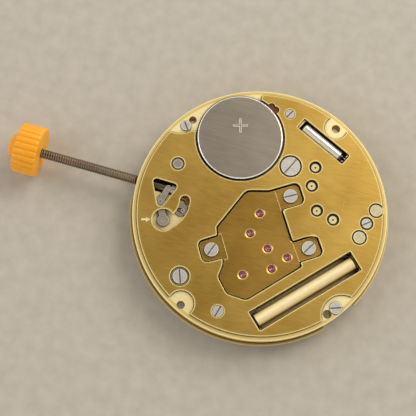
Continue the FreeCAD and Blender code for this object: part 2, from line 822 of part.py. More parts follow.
def stem():
    square = stem_square / 2
    shank_start = stem_groove[1]
    block = Part.makeBox(
        pilot_start - shank_start - 0.08, stem_square, stem_square,
        Vector(shank_start + 0.08, -square, stem_height - square),
    )
    parts = [
        rod(thread_radius, crown_inner - 1.60, -casing_radius + 0.2),
        rod(stem_bearing_radius, -casing_radius + 0.1, -10.35),
        rod(thread_radius, -10.35, stem_groove[0]),
        rod(stem_groove_radius, stem_groove[0], stem_groove[1]),
        rod(thread_radius - 0.05, stem_groove[1], stem_groove[1] + 0.08),
        block,
        rod(pilot_radius, pilot_start, pilot_end),
    ]
    return fused(parts)


def crown():
    """A ribbed plastic crown with a boss on its outer face."""
    outer = crown_inner - crown_length
    body = rod(crown_radius, outer, crown_inner)
    edges = [e for e in body.Edges if e.BoundBox.XLength < 1e-6]
    body = body.makeChamfer(0.12, edges)
    pitch = 2 * math.pi / crown_ribs
    for rib in range(crown_ribs):
        angle = rib * pitch
        groove = Part.makeBox(
            crown_length + 2, 0.16, 2 * crown_rib_depth,
            Vector(outer - 1, -0.08, stem_height + crown_radius - crown_rib_depth),
        )
        groove.rotate(Vector(0, 0, stem_height), Vector(1, 0, 0), math.degrees(angle))
        body = body.cut(groove)
    boss_end = outer - crown_boss_length
    boss = rod(crown_boss_radius, boss_end, outer)
    boss = boss.makeFillet(0.15, [e for e in boss.Edges if abs(e.BoundBox.XMax - boss_end) < 1e-6])
    bore = rod(thread_radius, crown_inner - 1.60, crown_inner + 1)
    return body.fuse(boss).removeSplitter().cut(bore)


def sliding_pinion():
    start, end = pinion_ends
    body = rod(pinion_radius, start, end)
    groove = rod(pinion_radius + 1, *pinion_groove).cut(rod(pinion_groove_radius, *pinion_groove))
    half = stem_square / 2 + bush_gap
    bore = Part.makeBox(end - start + 2, 2 * half, 2 * half, Vector(start - 1, -half, stem_height - half))
    body = body.cut(groove).cut(bore)
    for tooth in range(pinion_teeth):
        notch = Part.makeBox(0.12, 0.10, 1, Vector(end - 0.12, -0.05, stem_height + 0.36))
        notch.rotate(Vector(0, 0, stem_height), Vector(1, 0, 0), 360 * tooth / pinion_teeth)
        body = body.cut(notch)
    return body


def coil_winding():
    ends = local_point(-coil_length / 2, 0)
    a = math.radians(coil_angle)
    wound = Part.makeCylinder(
        coil_radius, coil_length, Vector(*ends, coil_height), Vector(math.cos(a), math.sin(a), 0)
    )
    core = bar(coil_length + 1, core_width, coil_height - core_thickness / 2,
               coil_height + core_thickness / 2, coil_centre, coil_angle)
    return wound.cut(core)


def coil_core():
    low = coil_height - core_thickness / 2
    high = coil_height + core_thickness / 2
    parts = [bar(2 * core_reach, core_width, low, high, coil_centre, coil_angle)]
    for side in (-1, 1):
        middle = local_point(side * (core_reach - core_foot / 2), 0)
        parts.append(bar(core_foot, core_width + 0.30, stator_level[1], high, middle, coil_angle))
    return fused(parts)


def coil_terminal():
    """The small insulating tab with the coil's two solder joints."""
    middle = local_point(core_reach - core_foot / 2, 0)
    high = coil_height + core_thickness / 2
    tab = bar(core_foot, core_width + 0.6, high, high + 0.10, middle, coil_angle)
    joints = []
    for side in (-1, 1):
        at = local_point(core_reach - core_foot / 2, side * 0.38)
        joints.append(disc(0.16, high + 0.10, high + 0.18, at))
    return [tab] + joints


def stator():
    plate = prism(stator_outline(), *stator_level)
    bore = disc(stator_bore, stator_level[0] - 1, stator_level[1] + 1, rotor_axis)
    plate = plate.cut(bore)
    for side in (0, 180):
        a = math.radians(coil_angle + side + 35)
        at = (rotor_axis[0] + stator_bore * math.cos(a), rotor_axis[1] + stator_bore * math.sin(a))
        plate = plate.cut(disc(0.09, stator_level[0] - 1, stator_level[1] + 1, at))
    return plate


def board_face():
    return outline(board_outline)


def module_carrier():
    """The plastic carrier that insulates the board from the plate."""
    body = prism(board_face(), carrier_bottom, board_level[0])
    chip = bar(chip_size + 0.2, chip_size + 0.2, board_level[0] - chip_height - 0.05, board_level[0] + 1,
               chip_centre, quartz_angle)
    leads = bar(1.6, 0.7, quartz_height - 0.2, board_level[0] + 1, lead_middle(), quartz_angle)
    floor = bar(1.6, 0.7, carrier_bottom - 1, board_level[0] + 1, lead_middle(), quartz_angle)
    return body.cut(chip).cut(leads).cut(floor)


def circuit_board():
    board = prism(board_face(), *board_level)
    return without(board, [disc(0.09, 0, 2, p) for p in test_points])


def test_pads():
    high = board_level[1] + 0.03
    return [ring(test_pad_radius, 0.09, board_level[1], high, p) for p in test_points]


def chip():
    low = board_level[0] - chip_height
    return bar(chip_size, chip_size, low, board_level[0], chip_centre, quartz_angle)


def quartz_direction():
    a = math.radians(quartz_angle)
    return Vector(math.cos(a), math.sin(a), 0)


def quartz_can():
    way = quartz_direction()
    start = Vector(*quartz_centre, quartz_height) - way * (quartz_length / 2)
    can = Part.makeCylinder(quartz_radius, quartz_length - 0.25, start, way)
    closed_end = [e for e in can.Edges if e.Curve.TypeId == "Part::GeomCircle"
                  and (e.Curve.Center - start).Length < 0.01]
    return can.makeFillet(0.20, closed_end)


def quartz_seal():
    way = quartz_direction()
    start = Vector(*quartz_centre, quartz_height) + way * (quartz_length / 2 - 0.25)
    seal = Part.makeCylinder(quartz_radius - 0.05, 0.25, start, way)
    return seal


def quartz_leads():
    """Two wires from the glass seal up to the underside of the board."""
    way = quartz_direction()
    across = Vector(-way.y, way.x, 0)
    start = Vector(*quartz_centre, quartz_height) + way * (quartz_length / 2)
    rise = board_level[0] - lead_radius - quartz_height
    climb = (way * 0.9 + Vector(0, 0, rise - 0.03)).normalize()
    wires = []
    for side in (-0.18, 0.18):
        foot = start + across * side
        wires.append(Part.makeCylinder(lead_radius, 0.95, foot, climb))
    return [wire.cut(quartz_seal()) for wire in wires]


def cell_case():
    top = cell_bottom + cell_height
    can = disc(cell_radius, cell_bottom + 0.14, top, cell_centre)
    rims = [e for e in can.Edges if abs(e.BoundBox.ZMin - top) < 1e-6 and e.BoundBox.ZLength < 1e-6]
    can = can.makeFillet(0.14, rims)
    return can.cut(disc(cell_radius - can_wall, cell_bottom - 1, top - can_wall, cell_centre))


def cell_gasket():
    return ring(cell_radius - can_wall, anode_radius, cell_bottom + 0.10, cell_bottom + 1.25, cell_centre)


def cell_anode_cap():
    return disc(anode_radius, cell_bottom, cell_bottom + 1.25, cell_centre)


def cell_cathode():
    top = cell_bottom + cell_height - can_wall
    return disc(cell_radius - can_wall, cell_bottom + 1.25, top, cell_centre)


def cell_insulator():
    """A thin plastic ring on the floor of the cell's pocket."""
    low = cell_bottom - 0.10
    return ring(cell_radius, 1.55, low, low + 0.04, cell_centre)


def negative_contact():
    low = cell_bottom - 0.10
    pad = disc(1.40, low, low + 0.08, cell_centre)
    dome = Part.makeCone(0.60, 0.45, cell_bottom - low - 0.08, Vector(*cell_centre, low + 0.08))
    return pad.fuse(dome).removeSplitter()


def positive_contact():
    """A spring strip along the wall of the cell's pocket."""
    outer = cell_radius + cell_pocket_gap
    strip = ring(outer, outer - 0.05, 0.60, 1.50, cell_centre)
    x, y = cell_centre
    keep = [(x, y)] + [
        (x + 8 * math.cos(math.radians(a)), y + 8 * math.sin(math.radians(a))) for a in (-62, 0, 58)
    ]
    return strip.common(prism(polygon(keep), 0, 2))


def centre_bush():
    return ring(bush_radius, arbor_radius + bush_gap, web_bottom - 0.02, web_top - 0.01, centre_axis)


def seconds_bush():
    return ring(bush_radius, seconds_arbor_radius + bush_gap, 0.02, web_top - 0.01, seconds_axis)


def train_cover():
    plate = prism(train_cover_face(), 0, train_cover_thickness)
    holes = [disc(hour_seat_radius + 0.55, -1, 1, centre_axis)]
    holes += [disc(0.14, -1, 1, p) for p in train_cover_screws]
    holes += [disc(train_cover_head_radius + 0.02, -1, train_cover_head, p) for p in train_cover_screws]
    return without(plate, holes)


def train_cover_screw_set():
    made = []
    for place in train_cover_screws:
        head = disc(train_cover_head_radius, 0.0, train_cover_head, place)
        made.append(head.fuse(disc(0.14, train_cover_head, 0.28, place)).removeSplitter())
    return made


def rotor_arbor():
    top = bridge_bottom + 0.03 + jewel_height
    steps = [
        (pivot_radius, 0.05, magnet_level[0] - 0.05),
        (arbor_radius, magnet_level[0] - 0.05, high_level[1] + 0.03),
        (pivot_radius, high_level[1] + 0.03, top - 0.03),
    ]
    leaves = pinion(rotor_axis, rotor_teeth, rotor_pitch, toward(rotor_axis, intermediate_axis),
                    high_level, arbor_radius)
    return [arbor(rotor_axis, steps), leaves]


def rotor_magnet():
    return ring(magnet_radius, arbor_radius, *magnet_level, rotor_axis)


def train_arbor(centre, leaves=(), low=None, radius=arbor_radius):
    """A shaft that runs from a lower jewel to an upper one, with its pinions."""
    bottom = web_top - jewel_height * 0.75 if low is None else low
    top = bridge_bottom + 0.03 + jewel_height
    steps = [
        (pivot_radius, bottom, web_top + 0.02),
        (radius, web_top + 0.02, high_level[1] + 0.03),
        (pivot_radius, high_level[1] + 0.03, top - 0.03),
    ]
    return [arbor(centre, steps)] + list(leaves)


def intermediate_arbor():
    low_leaves = pinion(intermediate_axis, intermediate_low_teeth, low_pitch,
                        toward(intermediate_axis, seconds_axis), low_level, arbor_radius)
    mid_leaves = pinion(intermediate_axis, intermediate_mid_teeth, mid_pitch,
                        toward(intermediate_axis, third_axis), mid_level, arbor_radius)
    return train_arbor(intermediate_axis, (low_leaves, mid_leaves))


def third_arbor():
    leaves = pinion(third_axis, third_pinion_teeth, third_low_pitch,
                    toward(third_axis, reduction_axis), high_level, arbor_radius)
    return train_arbor(third_axis, (leaves,))


def reduction_arbor():
    leaves = pinion(reduction_axis, reduction_pinion_teeth, reduction_low_pitch,
                    toward(reduction_axis, centre_axis), low_level, arbor_radius)
    return train_arbor(reduction_axis, (leaves,))


def seconds_arbor():
    """The hand's seat, a shaft that tapers down to it, and the upper pivot."""
    shoulder = high_level[1] + 0.03
    top = bridge_bottom + 0.03 + jewel_height
    return fused([
        disc(seconds_seat_radius, seconds_post_end, -0.02, seconds_axis),
        tapered(seconds_arbor_radius - 0.005, seconds_arbor_radius, -0.02, shoulder, seconds_axis),
        disc(pivot_radius, shoulder, top - 0.03, seconds_axis),
    ])


def centre_arbor():
    top = bridge_bottom + 0.03 + jewel_height
    steps = [
        (arbor_radius, minute_level[0], high_level[1] + 0.03),
        (pivot_radius, high_level[1] + 0.03, top - 0.03),
    ]
    return arbor(centre_axis, steps)


def cannon_pinion():
    """The pipe that carries the minute hand, with its leaves at the top and a slight taper between."""
    inner = minute_seat_radius - 0.02
    leaves = pinion(centre_axis, cannon_teeth, cannon_pitch, toward(centre_axis, minute_axis),
                    minute_level, inner)
    shoulder = hour_pipe_end - 0.05
    pipe = fused([
        disc(inner, *minute_level),
        tapered(inner - 0.01, inner, shoulder, minute_level[0]),
        disc(minute_seat_radius, minute_pipe_end, shoulder),
    ])
    pipe = pipe.cut(disc(arbor_radius, minute_level[0], minute_level[1]))
    return [pipe.cut(disc(0.15, minute_pipe_end, minute_level[0] - 0.2)), leaves]


def hour_wheel():
    bore = minute_seat_radius - 0.02 + pipe_gap
    hub = 0.80
    pipe = fused([disc(hour_seat_radius, hour_pipe_end, hour_level[0]), disc(hub, *hour_level)])
    pipe = pipe.cut(disc(bore, hour_pipe_end - 1, 1))
    tooth_at = toward(centre_axis, minute_axis)
    teeth = prism(toothed_face(centre_axis, hour_wheel_teeth, hour_pitch, tooth_at, 0.46), *hour_level)
    return [pipe, teeth.cut(prism(many_sided(centre_axis, hub), *hour_level))]


def minute_wheel():
    outward = toward(minute_axis, centre_axis)
    teeth = toothed_face(minute_axis, minute_wheel_teeth, minute_pitch, outward, 0.46)
    upper = prism(teeth, *minute_level)
    tooth_at = outward + math.pi / minute_pinion_teeth
    leaves = toothed_face(minute_axis, minute_pinion_teeth, minute_low_pitch, tooth_at, 0.44, 0.8)
    lower = prism(leaves, hour_level[0], minute_level[0])
    bore = prism(many_sided(minute_axis, minute_post_radius + bush_gap, 24), 0, 1)
    return upper.fuse(lower).removeSplitter().cut(bore)


def small_wheel(axis, teeth, pitch, gap_at, low, high):
    tooth_at = gap_at + math.pi / teeth
    face = toothed_face(axis, teeth, pitch, tooth_at, 0.46)
    return prism(face, low, high).cut(prism(many_sided(axis, setting_post_radius + bush_gap, 24), 0, 1))


def stem_wheel():
    """The tall wheel that the sliding pinion turns. It meets a tooth of the setting wheel with a gap."""
    pitch_angle = 2 * math.pi / setting_wheel_teeth
    first = math.pi / setting_wheel_teeth
    nearest = first + round((math.pi - first) / pitch_angle) * pitch_angle
    turned = (nearest - math.pi) * setting_wheel_teeth / stem_wheel_teeth
    return small_wheel(stem_wheel_axis, stem_wheel_teeth, stem_wheel_pitch, -turned,
                       minute_level[0], stem_wheel_top)


def train_wheel(axis, partner, teeth, pitch, level, radius=arbor_radius, arms=4):
    return wheel(axis, teeth, pitch, toward(axis, partner), level, radius, arms)


nodes = {
    "main_plate": main_plate(),
    "cover_plate": cover_plate(),
    "train_bridge": train_bridge(),
    "bridge_screws": bridge_screws(),
    "cell_clamp_screw": cell_clamp_screw(),
    "cover_screws": cover_screw_set(),
    "dial_foot_screws": foot_screw_set(),
    "cover_pins": pins(cover_pins, cover_pin_radius, cover_top - 0.02),
    "keyless_pin": pins([keyless_pin], keyless_pin_radius, cover_top - 0.06),
    "keyless_studs": keyless_studs(),
    "upper_jewels": upper_jewels(),
    "lower_jewels": lower_jewels(),
    "centre_bush": centre_bush(),
    "seconds_bush": seconds_bush(),
    "motion_work_cover": train_cover(),
    "motion_work_screws": train_cover_screw_set(),
    "yoke_spring": yoke_spring(),
    "stator": stator(),
    "coil_core": coil_core(),
    "coil_winding": coil_winding(),
    "coil_terminal": coil_terminal(),
    "module_carrier": module_carrier(),
    "circuit_board": circuit_board(),
    "test_pads": test_pads(),
    "timing_chip": chip(),
    "quartz_can": quartz_can(),
    "quartz_seal": quartz_seal(),
    "quartz_leads": quartz_leads(),
    "cell_insulator": cell_insulator(),
    "negative_contact": negative_contact(),
    "positive_contact": positive_contact(),
    "cell_case": cell_case(),
    "cell_gasket": cell_gasket(),
    "cell_anode_cap": cell_anode_cap(),
    "cell_cathode": cell_cathode(),
    "rotor_magnet": rotor_magnet(),
    "rotor_arbor": rotor_arbor(),
    "intermediate_wheel": train_wheel(
        intermediate_axis, rotor_axis, intermediate_teeth, intermediate_pitch, high_level
    ),
    "intermediate_arbor": intermediate_arbor(),
    "seconds_wheel": train_wheel(
        seconds_axis, intermediate_axis, seconds_teeth, seconds_pitch, low_level, seconds_arbor_radius
    ),
    "seconds_arbor": seconds_arbor(),
    "third_wheel": train_wheel(third_axis, intermediate_axis, third_teeth, third_pitch, mid_level),
    "third_arbor": third_arbor(),
    "reduction_wheel": train_wheel(reduction_axis, third_axis, reduction_teeth, reduction_pitch, high_level),
    "reduction_arbor": reduction_arbor(),
    "centre_wheel": train_wheel(centre_axis, reduction_axis, centre_teeth, centre_pitch, low_level),
    "centre_arbor": centre_arbor(),
    "cannon_pinion": cannon_pinion(),
    "hour_wheel": hour_wheel(),
    "minute_wheel": minute_wheel(),
    "setting_wheel": small_wheel(
        setting_axis, setting_wheel_teeth, setting_pitch, 0.0, *minute_level
    ),
    "stem_wheel": stem_wheel(),
    "setting_lever": setting_lever(),
    "yoke": yoke(),
    "sliding_pinion": sliding_pinion(),
    "stem": stem(),
    "crown": crown(),
}

os.makedirs("parts", exist_ok=True)
for name, made in nodes.items():
    write(name, made)
    solids = made.Solids if isinstance(made, Part.Shape) else [s for shape in made for s in shape.Solids]
    whole = all(s.isValid() for s in solids)
    print(f"{name:20s} solids {len(solids)} volume {sum(s.Volume for s in solids):8.3f} valid {whole}")
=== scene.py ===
"""A quartz watch movement seen from its battery side: finishes, turned details, floor, light and camera."""

import json
import math

import bpy
from mathutils import Matrix, Vector


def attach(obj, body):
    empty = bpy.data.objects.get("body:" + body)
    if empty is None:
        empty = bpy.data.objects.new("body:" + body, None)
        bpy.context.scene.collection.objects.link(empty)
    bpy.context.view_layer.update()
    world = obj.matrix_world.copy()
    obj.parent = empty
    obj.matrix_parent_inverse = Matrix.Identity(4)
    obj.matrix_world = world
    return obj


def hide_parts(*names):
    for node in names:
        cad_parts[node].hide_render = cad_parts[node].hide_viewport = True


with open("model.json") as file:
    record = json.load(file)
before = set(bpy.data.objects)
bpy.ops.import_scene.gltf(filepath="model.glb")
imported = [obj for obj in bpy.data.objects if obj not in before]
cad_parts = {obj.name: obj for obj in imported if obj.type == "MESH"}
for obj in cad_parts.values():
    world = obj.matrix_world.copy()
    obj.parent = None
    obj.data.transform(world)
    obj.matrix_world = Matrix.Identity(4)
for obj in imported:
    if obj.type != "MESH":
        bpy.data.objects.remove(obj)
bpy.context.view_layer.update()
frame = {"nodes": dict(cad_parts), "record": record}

MM = 0.001
TURN = 2 * math.pi

# Levels of the movement, in mm over the dial seat
STEM_HEIGHT = 0.85
PLATE_TOP = 1.55
COVER_TOP = 1.75
CELL_TOP = 1.87
FLOOR_HEIGHT = -1.47

# The winding stem, in mm along X and as radii
THREAD_START, THREAD_END = -22.56, -11.52
THREAD_ROOT, THREAD_MIDDLE, THREAD_PITCH = 0.36, 0.375, 0.225
THREAD_TURNS = 48
BEARING_END, BEARING_RADIUS = -10.35, 0.55
GROOVE_START, GROOVE_END, GROOVE_RADIUS = -8.87, -8.53, 0.30
SHOULDER_RADIUS = 0.45
SQUARE_START, SQUARE_END, SQUARE_SIDE = -8.45, -7.20, 0.50
PILOT_END, PILOT_RADIUS = -5.95, 0.20

# The assembly crown
CROWN_INNER_FACE, CROWN_OUTER_FACE, BOSS_FACE = -20.96, -23.16, -23.91
CROWN_RADIUS = 2.32
CROWN_RIBS = 24

# The coil, which lies askew in its window
COIL_CENTRE = (5.81, -5.77)
COIL_ANGLE = 46.7
COIL_AXIS_HEIGHT = 0.90
COIL_RADIUS = 0.625
COIL_LENGTH = 10.30
WIRE_PITCH = 0.10       # the real wire is about 0.02 mm, too fine to show
WIRE_VALLEY = 0.03

# The train's upper jewels
JEWEL_CENTRES = {
    "centre": (0.0, 0.0), "reduction": (-0.35, -2.03), "third": (1.54, -2.94),
    "seconds": (0.0, -5.87), "intermediate": (2.38, -4.64), "rotor": (3.47, -3.24),
}
JEWEL_RADIUS = 0.375
JEWEL_HOLE = 0.095
JEWEL_BOTTOM, JEWEL_TOP = 1.18, 1.42

CELL_CENTRE = (-3.64, 6.35)

# Sockets of a mix node: its factor, its two numbers or colours, and what it gives
FACTOR, NUMBER_A, NUMBER_B, COLOUR_A, COLOUR_B = 0, 2, 3, 6, 7
MIXED_NUMBER, MIXED_COLOUR = 0, 2

STAIN_SIZE = 5.0        # broad, faint stains left by fingers and oil, in mm
HIGHLIGHT_EDGE_METALLIC = 0.45


def linear(hexed):
    """An sRGB hex colour as linear RGBA."""
    channels = [int(hexed[i:i + 2], 16) / 255 for i in (1, 3, 5)]
    return [c / 12.92 if c <= 0.04045 else ((c + 0.055) / 1.055) ** 2.4 for c in channels] + [1.0]


def add(tree, kind, inputs=None, stops=(), **settings):
    """Adds one shader node with its settings and links.

    An input is a value or another node's output. A colour ramp has stops of a position and a colour,
    which is sRGB hex or a grey.
    """
    node = tree.nodes.new(kind)
    for name, value in settings.items():
        setattr(node, name, value)
    for socket, value in (inputs or {}).items():
        if isinstance(value, bpy.types.NodeSocket):
            tree.links.new(value, node.inputs[socket])
        else:
            node.inputs[socket].default_value = value
    if stops:
        band = node.color_ramp.elements
        while len(band) < len(stops):
            band.new(0.5)
        for element, (position, colour) in zip(band, stops):
            element.position = position
            element.color = linear(colour) if isinstance(colour, str) else (colour, colour, colour, 1.0)
    return node


def start(name):
    """A new material with its tree, its shader and the object's own coordinates."""
    material = bpy.data.materials.new(name)
    material.use_nodes = True
    tree = material.node_tree
    return material, tree, tree.nodes["Principled BSDF"], add(tree, "ShaderNodeTexCoord")


def give(tree, shader, outputs, values):
    """Links outputs to the shader's sockets and sets its constant values."""
    for socket, output in outputs.items():
        tree.links.new(output, shader.inputs[socket])
    for socket, value in values.items():
        shader.inputs[socket].default_value = value


def upright_share(tree, rim):
    """How far the surface faces up or down, with every edge rounded over a rim, in mm."""
    rounded = add(tree, "ShaderNodeBevel", {"Radius": rim * MM}, samples=6)
    own = add(tree, "ShaderNodeVectorTransform", {"Vector": rounded.outputs["Normal"]},
              vector_type="NORMAL", convert_from="WORLD", convert_to="OBJECT")
    lean = add(tree, "ShaderNodeSeparateXYZ", {"Vector": own.outputs["Vector"]})
    return add(tree, "ShaderNodeMath", {0: lean.outputs["Z"]}, operation="ABSOLUTE").outputs[0]


def outside_radius(tree, place, radius):
    """Where the surface lies further from the movement's axis than a radius, in mm."""
    flat = add(tree, "ShaderNodeVectorMath", {0: place, 1: (1.0, 1.0, 0.0)}, operation="MULTIPLY")
    distance = add(tree, "ShaderNodeVectorMath", {0: flat.outputs["Vector"]}, operation="LENGTH")
    return add(tree, "ShaderNodeMapRange", {
        "Value": distance.outputs["Value"], "From Min": radius * MM, "From Max": (radius + 0.05) * MM,
    }).outputs["Result"]


def worked_metal(name, shade, body, edge, roughness, width, length=None, angle=0.0, depth=0.0006,
                 edge_gloss=None, deep="#3A2A14", metallic=1.0, wall=None, turned_from=None,
                 rim=0.10, level=(0.93, 0.995), reach=0.22, shaded=(0.42, 0.86)):
    """A metal with a worked surface: its grain is width by length, in mm, and lies at an angle.

    Cut and turned edges are burnished by the tool, and a painted highlight makes them brighter than the faces:
    edge is their colour, rim their width in mm, and level how flat a face is where they end. Slots and
    inner corners within reach, in mm, are darkened with painted shade, from the deep colour up as shaded says.
    Steep walls, and all that is turned outside a radius, have the wall colour.
    """
    material, tree, shader, texture_place = start(name)
    place = texture_place.outputs["Object"]
    laid = add(tree, "ShaderNodeMapping", {
        "Vector": place, "Rotation": (0.0, 0.0, math.radians(-angle)),
        "Scale": (width / (length or width), 1.0, 1.0),
    })
    grain = add(tree, "ShaderNodeTexNoise", {
        "Vector": laid.outputs["Vector"], "Scale": 1 / (width * MM), "Detail": 3.0, "Roughness": 0.6,
    }).outputs["Fac"]
    stains = add(tree, "ShaderNodeTexNoise", {
        "Vector": place, "Scale": 1 / (STAIN_SIZE * MM), "Detail": 4.0, "Roughness": 0.55,
    }).outputs["Fac"]
    wear = add(tree, "ShaderNodeMix", {FACTOR: 0.45, NUMBER_A: grain, NUMBER_B: stains},
               data_type="FLOAT").outputs[MIXED_NUMBER]
    tone = add(tree, "ShaderNodeValToRGB", {"Fac": wear}, [(0.32, shade), (0.68, body)]).outputs["Color"]

    upright = upright_share(tree, rim)
    # Painted highlight: faces that lean over the rounded rim, up to where they are level, take the bright edge
    # colour
    painted_edge_highlight = add(tree, "ShaderNodeValToRGB", {"Fac": upright},
                  [(0.20, 0.0), (0.40, 1.0), (level[0], 1.0), (level[1], 0.0)]).outputs["Color"]
    walls = []
    if wall:
        walls.append(add(tree, "ShaderNodeValToRGB", {"Fac": upright},
                         [(0.05, 1.0), (0.35, 0.0)]).outputs["Color"])
    if turned_from:
        walls.append(outside_radius(tree, place, turned_from))
    for part in walls:
        tone = add(tree, "ShaderNodeMix", {FACTOR: part, COLOUR_A: tone, COLOUR_B: linear(wall)},
                   data_type="RGBA").outputs[MIXED_COLOUR]
    tone_and_painted_highlight = add(tree, "ShaderNodeMix", {FACTOR: painted_edge_highlight, COLOUR_A: tone, COLOUR_B: linear(edge)},
                data_type="RGBA").outputs[MIXED_COLOUR]
    # Painted shade: ambient occlusion darkens slots, holes, pockets and inner corners towards the deep colour
    corner = add(tree, "ShaderNodeAmbientOcclusion", {"Distance": reach * MM}, samples=8)
    painted_shade_mask = add(tree, "ShaderNodeValToRGB", {"Fac": corner.outputs["AO"]},
                    [(shaded[0], 0.0), (shaded[1], 1.0)]).outputs["Color"]
    colour = add(tree, "ShaderNodeMix", {FACTOR: painted_shade_mask, COLOUR_A: linear(deep), COLOUR_B: tone_and_painted_highlight},
                 data_type="RGBA").outputs[MIXED_COLOUR]

    rough = add(tree, "ShaderNodeMapRange", {
        "Value": wear, "From Min": 0.3, "From Max": 0.7, "To Min": roughness[0], "To Max": roughness[1],
    }).outputs["Result"]
    gloss = add(tree, "ShaderNodeMix", {
        FACTOR: painted_edge_highlight, NUMBER_A: rough, NUMBER_B: roughness[0] if edge_gloss is None else edge_gloss,
    }, data_type="FLOAT").outputs[MIXED_NUMBER]
    relief = add(tree, "ShaderNodeBump", {"Height": grain, "Strength": 0.5, "Distance": depth * MM})
    # The rims under the painted highlight are also less metallic, so they scatter more light than the grained
    # faces
    bare = add(tree, "ShaderNodeMapRange", {
        "Value": painted_edge_highlight, "From Min": 0.0, "From Max": 1.0,
        "To Min": metallic, "To Max": metallic * HIGHLIGHT_EDGE_METALLIC,
    })
    give(tree, shader, {
        "Base Color": colour, "Roughness": gloss, "Normal": relief.outputs["Normal"],
        "Metallic": bare.outputs["Result"],
    }, {})
    return material


def moulded(name, shade, body, roughness, grit, depth, ior=1.5, glow=0.0):
    """A moulded plastic or resin: the grit of its mould is grit wide and depth deep, in mm."""
    material, tree, shader, place = start(name)
    fine = add(tree, "ShaderNodeTexNoise", {
        "Vector": place.outputs["Object"], "Scale": 1 / (grit * MM), "Detail": 4.0, "Roughness": 0.6,
    }).outputs["Fac"]
    broad = add(tree, "ShaderNodeTexNoise", {
        "Vector": place.outputs["Object"], "Scale": 1 / (2.5 * MM), "Detail": 2.0,
    }).outputs["Fac"]
    both = add(tree, "ShaderNodeMix", {FACTOR: 0.5, NUMBER_A: fine, NUMBER_B: broad},
               data_type="FLOAT").outputs[MIXED_NUMBER]
    tone = add(tree, "ShaderNodeValToRGB", {"Fac": both}, [(0.35, shade), (0.65, body)])
    rough = add(tree, "ShaderNodeMapRange", {
        "Value": fine, "From Min": 0.3, "From Max": 0.7, "To Min": roughness[0], "To Max": roughness[1],
    })
    relief = add(tree, "ShaderNodeBump", {"Height": fine, "Strength": 0.6, "Distance": depth * MM})
    give(tree, shader, {
        "Base Color": tone.outputs["Color"], "Roughness": rough.outputs["Result"],
        "Normal": relief.outputs["Normal"],
    }, {
        "IOR": ior, "Subsurface Weight": glow, "Subsurface Scale": 1.0,
        "Subsurface Radius": (0.6 * MM, 0.25 * MM, 0.1 * MM),
    })
    return material


def ruby():
    """Synthetic ruby, flame grown and polished: deep pink-red with lighter, clearer streaks inside."""
    material, tree, shader, place = start("synthetic_ruby")
    streaks = add(tree, "ShaderNodeTexNoise", {
        "Vector": place.outputs["Object"], "Scale": 1 / (0.22 * MM), "Detail": 3.0, "Distortion": 0.6,
    })
    tone = add(tree, "ShaderNodeValToRGB", {"Fac": streaks.outputs["Fac"]},
               [(0.30, "#64091F"), (0.55, "#A61C42"), (0.75, "#E46A86")])
    give(tree, shader, {"Base Color": tone.outputs["Color"]}, {
        "Roughness": 0.12, "IOR": 1.76, "Transmission Weight": 0.25,
        "Coat Weight": 0.6, "Coat Roughness": 0.05,
    })
    return material


def enamelled_wire():
    """Enamelled copper wire, wound tight: a yellow lacquer over copper, with a painted highlight on each turn
    and painted shade down its sides.
    """
    material, tree, shader, place = start("enamelled_copper_wire")
    lie = add(tree, "ShaderNodeMapping", {
        "Vector": place.outputs["Object"], "Rotation": (0.0, 0.0, math.radians(-COIL_ANGLE)),
    })
    # Painted highlight: the wave's bands lighten the colour along each turn of wire
    # At a scale of 1, one band of a wave texture is a twentieth of TURN wide
    painted_turn_highlights = add(tree, "ShaderNodeTexWave", {
        "Vector": lie.outputs["Vector"], "Scale": TURN / 20 / (WIRE_PITCH * MM), "Distortion": 0.5,
        "Detail": 1.0, "Detail Scale": 2.0,
    }, bands_direction="X")
    lots = add(tree, "ShaderNodeTexNoise", {
        "Vector": lie.outputs["Vector"], "Scale": 1 / (0.8 * MM), "Detail": 3.0,
    })
    both = add(tree, "ShaderNodeMix", {
        FACTOR: 0.5, NUMBER_A: painted_turn_highlights.outputs["Fac"], NUMBER_B: lots.outputs["Fac"],
    }, data_type="FLOAT")
    lit = add(tree, "ShaderNodeValToRGB", {"Fac": both.outputs[MIXED_NUMBER]},
              [(0.25, "#FFE29A"), (0.70, "#FFFCD8")])
    # Painted shade: the flanks of the winding, which face sideways, turn brown while the top stays bright as if
    # lit
    lean = add(tree, "ShaderNodeSeparateXYZ", {"Vector": place.outputs["Normal"]})
    painted_side_shade = add(tree, "ShaderNodeValToRGB", {"Fac": lean.outputs["Z"]}, [(0.30, 1.0), (0.58, 0.0)])
    colour = add(tree, "ShaderNodeMix", {
        FACTOR: painted_side_shade.outputs["Color"], COLOUR_A: lit.outputs["Color"], COLOUR_B: linear("#8A5414"),
    }, data_type="RGBA")
    give(tree, shader, {"Base Color": colour.outputs[MIXED_COLOUR]}, {
        "Metallic": 0.12, "Roughness": 0.34, "Coat Weight": 0.5, "Coat Roughness": 0.15,
    })
    return material


def seal_glass():
    """Fired glass at the quartz can's foot: dark blue-grey, glossy, with tiny bubbles."""
    material, tree, shader, place = start("seal_glass")
    bubbles = add(tree, "ShaderNodeTexVoronoi", {
        "Vector": place.outputs["Object"], "Scale": 1 / (0.12 * MM),
    })
    tone = add(tree, "ShaderNodeValToRGB", {"Fac": bubbles.outputs["Distance"]},
               [(0.05, "#8C94A8"), (0.35, "#2A3040")])
    give(tree, shader, {"Base Color": tone.outputs["Color"]}, {"Roughness": 0.1, "IOR": 1.52})
    return material


